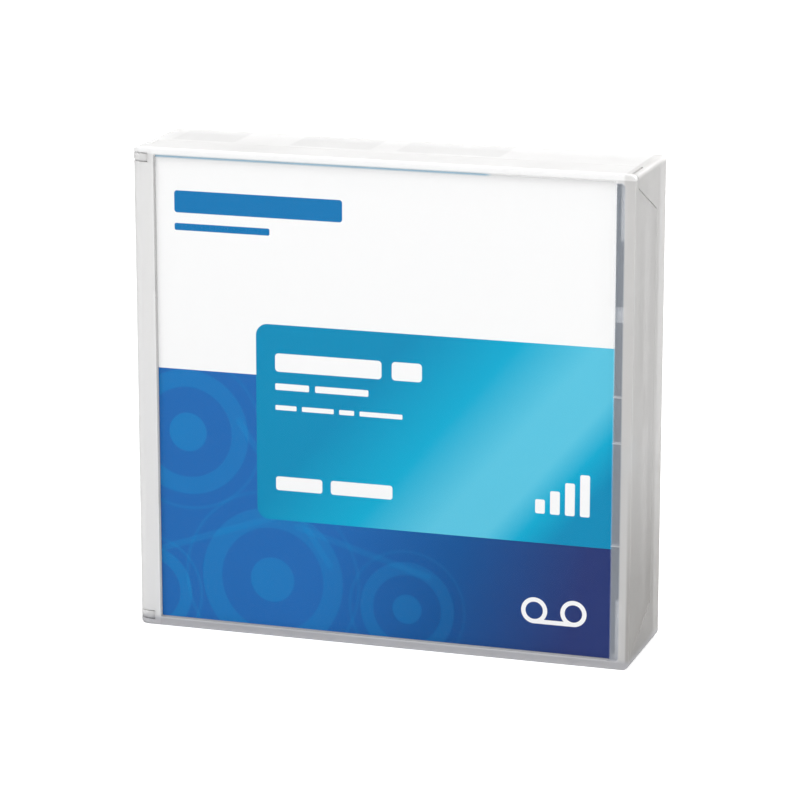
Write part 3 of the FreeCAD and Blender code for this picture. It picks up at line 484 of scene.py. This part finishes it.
def housing_finish():
    """The half shells: grained inside a polished border, with a moulded line and arrow."""
    finish = Finish("shell_plastic", IOR=1.5)
    spans = ((SHELL_LOW.x + 6, SHELL_HIGH.x - 9), (SHELL_LOW.z + 6, SHELL_HIGH.z - 6))
    field = finish.box(finish.x, finish.z, spans, 3.0)
    groove = (abs(field) - 0.22).inside(0.15)
    grained = field.inside(0.3)
    middle = (SHELL_LOW.z + SHELL_HIGH.z) / 2
    tip = SHELL_LOW.x + 11
    arrow = (abs(finish.z - middle) - 0.8 * (finish.x - tip)).most(finish.x - tip - 6).inside(0.1)
    grains = finish.noise(0.42, 3.0)
    cloud = finish.noise(16, 2.0)
    worn = finish.noise(3.5, 4.0, (1, 1, 0.2))
    pale = 0.5 * cloud + 0.35 * worn * (1 - grained)
    colour = finish.mix(pale, (0.024, 0.034, 0.047, 1), (0.044, 0.056, 0.072, 1))
    finish.drive("Base Color", colour)
    polished = 0.27 + 0.12 * worn
    finish.drive("Roughness", polished.towards(0.46 + 0.10 * grains, grained * (1 - arrow)))
    height = (0.1 + 0.9 * grained) * grains - 4.0 * groove + 3.0 * arrow
    finish.bump(height, 0.022)
    return finish.material


def label_paper():
    """A blank paper label: a cyan end and faint ruled lines to write on."""
    finish = Finish("label_paper", IOR=1.45, Specular_IOR_Level=0.3)
    low = SHELL_LOW.z + LABEL_LOW
    middle = (SHELL_LOW.y + SHELL_HIGH.y) / 2
    ruled = joined([
        (abs(finish.y - (middle + offset)) - 0.07).inside(0.1) for offset in (0.0, -3.6, 3.6)
    ])
    fibre = finish.noise(0.35, 4.0, (1, 1, 0.5))
    paper = finish.mix(fibre, (0.80, 0.795, 0.775, 1), (0.88, 0.875, 0.86, 1))
    ink = finish.mix(ruled * 0.6, paper, (0.35, 0.42, 0.48, 1))
    finish.drive("Base Color", finish.mix((finish.z - low - 7).inside(), ink, CYAN))
    finish.drive("Roughness", 0.55 + 0.2 * fibre)
    finish.bump(fibre, 0.004)
    return finish.material


def metal(name, colour, rough, stretch=(1, 1, 1)):
    """Drawn or ground metal with fine lines along one axis."""
    finish = Finish(name, Metallic=1.0)
    lines = finish.noise(0.25, 3.0, stretch)
    stain = finish.noise(5, 2.0)
    darker = tuple(0.8 * value for value in colour) + (1,)
    finish.drive("Base Color", finish.mix(0.5 * stain, colour + (1,), darker))
    finish.drive("Roughness", rough + 0.16 * lines)
    finish.bump(lines, 0.006)
    return finish.material


def wound_tape():
    """The pack's side: fine rings of film edges, a little uneven, with a dark sheen."""
    finish = Finish("tape_film", IOR=1.6, Coat_Weight=0.3, Coat_Roughness=0.2)
    axis = (REEL_LOW + REEL_HIGH) / 2
    radius = finish.circle(finish.x, finish.z, (axis.x, axis.z), 0.0)
    uneven = finish.noise(9, 1.0)
    turns = (radius * (math.tau / 0.35) + 6 * uneven).sine() * 0.5 + 0.5
    bands = (radius * (math.tau / 5.5) + 9 * uneven).sine() * 0.5 + 0.5
    film = finish.mix(bands, (0.020, 0.015, 0.012, 1), (0.040, 0.029, 0.022, 1))
    finish.drive("Base Color", film)
    finish.drive("Roughness", 0.30 + 0.12 * turns)
    finish.bump(turns, 0.01)
    return finish.material


# Pieces ---------------------------------------------------------------------------------------

def copied(node, name, material):
    """A copy of a solid that stands for it, selected alone."""
    piece = bpy.data.objects.new(name, frame["nodes"][node].data.copy())
    bpy.context.scene.collection.objects.link(piece)
    bpy.ops.object.select_all(action="DESELECT")
    piece.select_set(True)
    bpy.context.view_layer.objects.active = piece
    piece.data.materials.clear()
    piece.data.materials.append(material)
    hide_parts(node)
    return piece


def on_outline(edge):
    """Whether an edge lies on the case's outline, on its front or back face."""
    middle = (edge.verts[0].co + edge.verts[1].co) / (2 * MM)
    face = min(abs(middle.y - CASE_LOW.y), abs(middle.y - CASE_HIGH.y))
    reach = (CASE_HIGH - CASE_LOW) / 2
    dx = abs(middle.x - (CASE_LOW.x + reach.x)) - (reach.x - CASE_CORNER)
    dz = abs(middle.z - (CASE_LOW.z + reach.z)) - (reach.z - CASE_CORNER)
    outline = math.hypot(max(dx, 0), max(dz, 0)) + min(max(dx, dz), 0) - CASE_CORNER
    return face < 0.05 and abs(outline) < 0.08 and edge.calc_face_angle(0) > math.radians(50)


def bevelled(piece, width, limit):
    """Round the sharp edges, or the weighted ones."""
    bevel = piece.modifiers.new("edges", "BEVEL")
    bevel.width = width * MM
    bevel.segments = 3
    bevel.limit_method = limit
    bevel.angle_limit = math.radians(35)
    bpy.ops.object.modifier_apply(modifier=bevel.name)


def softened(node, width, body, material, outer_width=None):
    """A copy of a casing with its sharp edges rounded, and its outline more so."""
    piece = copied(node, f"{node}_moulded", material)
    mesh = bmesh.new()
    mesh.from_mesh(piece.data)
    bmesh.ops.remove_doubles(mesh, verts=mesh.verts, dist=0.002 * MM)
    bmesh.ops.dissolve_limit(
        mesh, angle_limit=math.radians(0.5), verts=mesh.verts, edges=mesh.edges,
    )
    if outer_width:
        weights = mesh.edges.layers.float.new("bevel_weight_edge")
        for edge in mesh.edges:
            edge[weights] = float(on_outline(edge))
    mesh.to_mesh(piece.data)
    mesh.free()
    if outer_width:
        bevelled(piece, outer_width, "WEIGHT")
    bevelled(piece, width, "ANGLE")
    bpy.ops.object.shade_smooth_by_angle(angle=math.radians(32))
    even = piece.modifiers.new("even_shading", "WEIGHTED_NORMAL")
    even.keep_sharp = True
    bpy.ops.object.modifier_apply(modifier=even.name)
    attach(piece, body)


def pressed_spring(node, joint, axis, material):
    """A copy of a coil spring, with its length along the axis and its joint's travel looked up.
    """
    piece = copied(node, f"{node}_coil", material)
    low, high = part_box(node)
    length = (Vector(high) - Vector(low)).dot(Vector(axis))
    travel = next(entry for entry in frame["joints"] if entry["name"] == joint)["range_m"][1]
    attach(piece, "case")
    1 - travel / length
    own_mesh(piece)


def edge_label(material):
    """A thin label with rounded corners in the housing's label recess."""
    bpy.ops.object.select_all(action="DESELECT")
    bpy.ops.mesh.primitive_cube_add(size=1)
    label = bpy.context.object
    label.name = "edge_label"
    across = SHELL_HIGH.y - SHELL_LOW.y - 2 * LABEL_MARGIN
    label.scale = Vector((LABEL_THICKNESS, across, LABEL_HIGH - LABEL_LOW - 0.8)) * MM
    label.location = Vector((
        SHELL_HIGH.x - LABEL_RECESS + 0.08, (SHELL_LOW.y + SHELL_HIGH.y) / 2,
        SHELL_LOW.z + (LABEL_LOW + LABEL_HIGH) / 2,
    )) * MM
    bpy.ops.object.transform_apply()
    bpy.ops.object.mode_set(mode="EDIT")
    mesh = bmesh.from_edit_mesh(label.data)
    for edge in mesh.edges:
        along = edge.verts[0].co - edge.verts[1].co
        edge.select_set(abs(along.x) > 0.05 * MM)
    bmesh.update_edit_mesh(label.data)
    bpy.ops.mesh.bevel(offset=0.8 * MM, segments=4)
    bpy.ops.object.mode_set(mode="OBJECT")
    label.data.materials.append(material)
    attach(label, "case")


def finish_nodes(material, *names):
    """Give solids that keep their own shape a better material."""
    for name in names:
        data = frame["nodes"][name].data
        data.materials.clear()
        data.materials.append(material)


def dress():
    """Give every piece its shape and finish."""
    softened("case_lid", 0.18, "lid", milky("lid_plastic", True), 0.6)
    softened("case_tray", 0.18, "case", milky("case_plastic", False), 0.6)
    finish_nodes(card_print(), "insert_card")

    shell = housing_finish()
    softened("cartridge_top_shell", 0.2, "case", shell)
    softened("cartridge_bottom_shell", 0.2, "case", shell)
    edge_label(label_paper())
    finish_nodes(metal("zinc_steel", (0.58, 0.58, 0.55), 0.3), "cartridge_screws")
    finish_nodes(moulded("door_plastic", (0.035, 0.035, 0.04)), "access_door")
    finish_nodes(moulded("tab_plastic", (0.42, 0.035, 0.025), rough=0.34), "write_protect_tab")
    finish_nodes(moulded("chip_board", (0.015, 0.12, 0.05), rough=0.3), "memory_chip")

    finish_nodes(moulded("clip_plastic", (0.50, 0.50, 0.48)), "leader_clip")
    steel = metal("pin_steel", (0.62, 0.62, 0.64), 0.18, (1, 0.04, 1))
    finish_nodes(steel, "leader_pin", "clutch_plate")
    finish_nodes(wound_tape(), "tape_pack", "tape_free_end")
    reel = moulded("reel_plastic", (0.50, 0.51, 0.53), depth=0.01)
    finish_nodes(reel, "reel_hub", "reel_top_flange")
    acetal = moulded("brake_plastic", (0.66, 0.65, 0.60), depth=0.008, rough=0.36)
    finish_nodes(acetal, "brake_button", "release_pad")

    wire = metal("spring_steel", (0.50, 0.50, 0.51), 0.26)
    finish_nodes(wire, "pin_springs")
    pressed_spring("door_spring", "door_slide", (1, 0, 0), wire)
    pressed_spring("brake_spring", "brake_lift", (0, 1, 0), wire)


# Studio ---------------------------------------------------------------------------------------

def placed(name, data, matrix):
    """Put a camera or lamp in the scene."""
    thing = bpy.data.objects.new(name, data)
    thing.matrix_world = matrix
    bpy.context.scene.collection.objects.link(thing)
    return thing


def camera():
    """A long lens, a little to the right of the front and above it."""
    azimuth, elevation, roll = (math.radians(angle) for angle in (17.85, 13.914, 0.004))
    distance = 806.3
    rightwards, downwards = 0.66, 1.48
    back = Vector((
        math.sin(azimuth) * math.cos(elevation), -math.cos(azimuth) * math.cos(elevation),
        math.sin(elevation),
    ))
    turn = back.to_track_quat("Z", "Y") @ Euler((0, 0, roll)).to_quaternion()
    aim = Vector((0, 0, CASE_HIGH.z / 2)) + turn @ Vector((rightwards, -downwards, 0))
    data = bpy.data.cameras.new("camera")
    data.lens = 161.27
    data.sensor_width = 36
    data.clip_start = 0.01
    matrix = Matrix.LocRotScale((aim + distance * back) * MM, turn, None)
    bpy.context.scene.camera = placed("camera", data, matrix)


def lamp(name, place, size, power):
    """A soft square lamp aimed at the case's middle, in metres and watts."""
    data = bpy.data.lights.new(name, "AREA")
    data.size = size
    data.energy = power
    aim = Vector((0, 0, CASE_HIGH.z * MM / 2)) - Vector(place)
    placed(name, data, Matrix.LocRotScale(Vector(place), aim.to_track_quat("-Z", "Y"), None))


def sky():
    """A plain world, white to the eye and in reflections, and softer as light."""
    world = bpy.data.worlds.new("studio")
    bpy.context.scene.world = world
    world.use_nodes = True
    graph = Graph(world.node_tree)
    shown = joined([
        graph.add("ShaderNodeLightPath", {}, {}, ray)
        for ray in ("Is Camera Ray", "Is Glossy Ray", "Is Transmission Ray")
    ])
    background = world.node_tree.nodes["Background"]
    background.inputs["Color"].default_value = (1, 1, 1, 1)
    strength = AMBIENT + (1 - AMBIENT) * shown
    world.node_tree.links.new(strength.socket, background.inputs["Strength"])


def floor():
    """A pale floor just under the case, white to the eye but for the case's shadow."""
    bpy.ops.object.select_all(action="DESELECT")
    bpy.ops.mesh.primitive_plane_add(size=8, location=(0, 0, -0.05 * MM))
    ground = bpy.context.object
    ground.name = "floor"
    white = Finish("floor_white", Roughness=0.9)
    white.shader.inputs["Emission Color"].default_value = (1, 1, 1, 1)
    shown = white.add("ShaderNodeLightPath", {}, {}, "Is Camera Ray")
    white.drive("Base Color", white.mix(shown, (0.45, 0.45, 0.45, 1), (0.9, 0.9, 0.9, 1)))
    away = (white.x ** 2 + white.y ** 2) ** 0.5 * MM
    white.drive("Emission Strength", shown * (0.38 + 0.25 * away))
    ground.data.materials.append(white.material)


dress()
camera()
sky()
floor()
lamp("key", (-0.42, -0.72, 0.95), 0.8, 5.6)
lamp("front", (-0.15, -0.95, 0.22), 0.6, 2.45)
lamp("top", (0.0, 0.1, 1.2), 0.7, 3.5)
lamp("side", (0.55, -0.14, 0.50), 0.5, 1.9)
lamp("back", (0.45, 0.75, 0.55), 0.7, 4.0)
bpy.context.scene.view_settings.view_transform = "Standard"
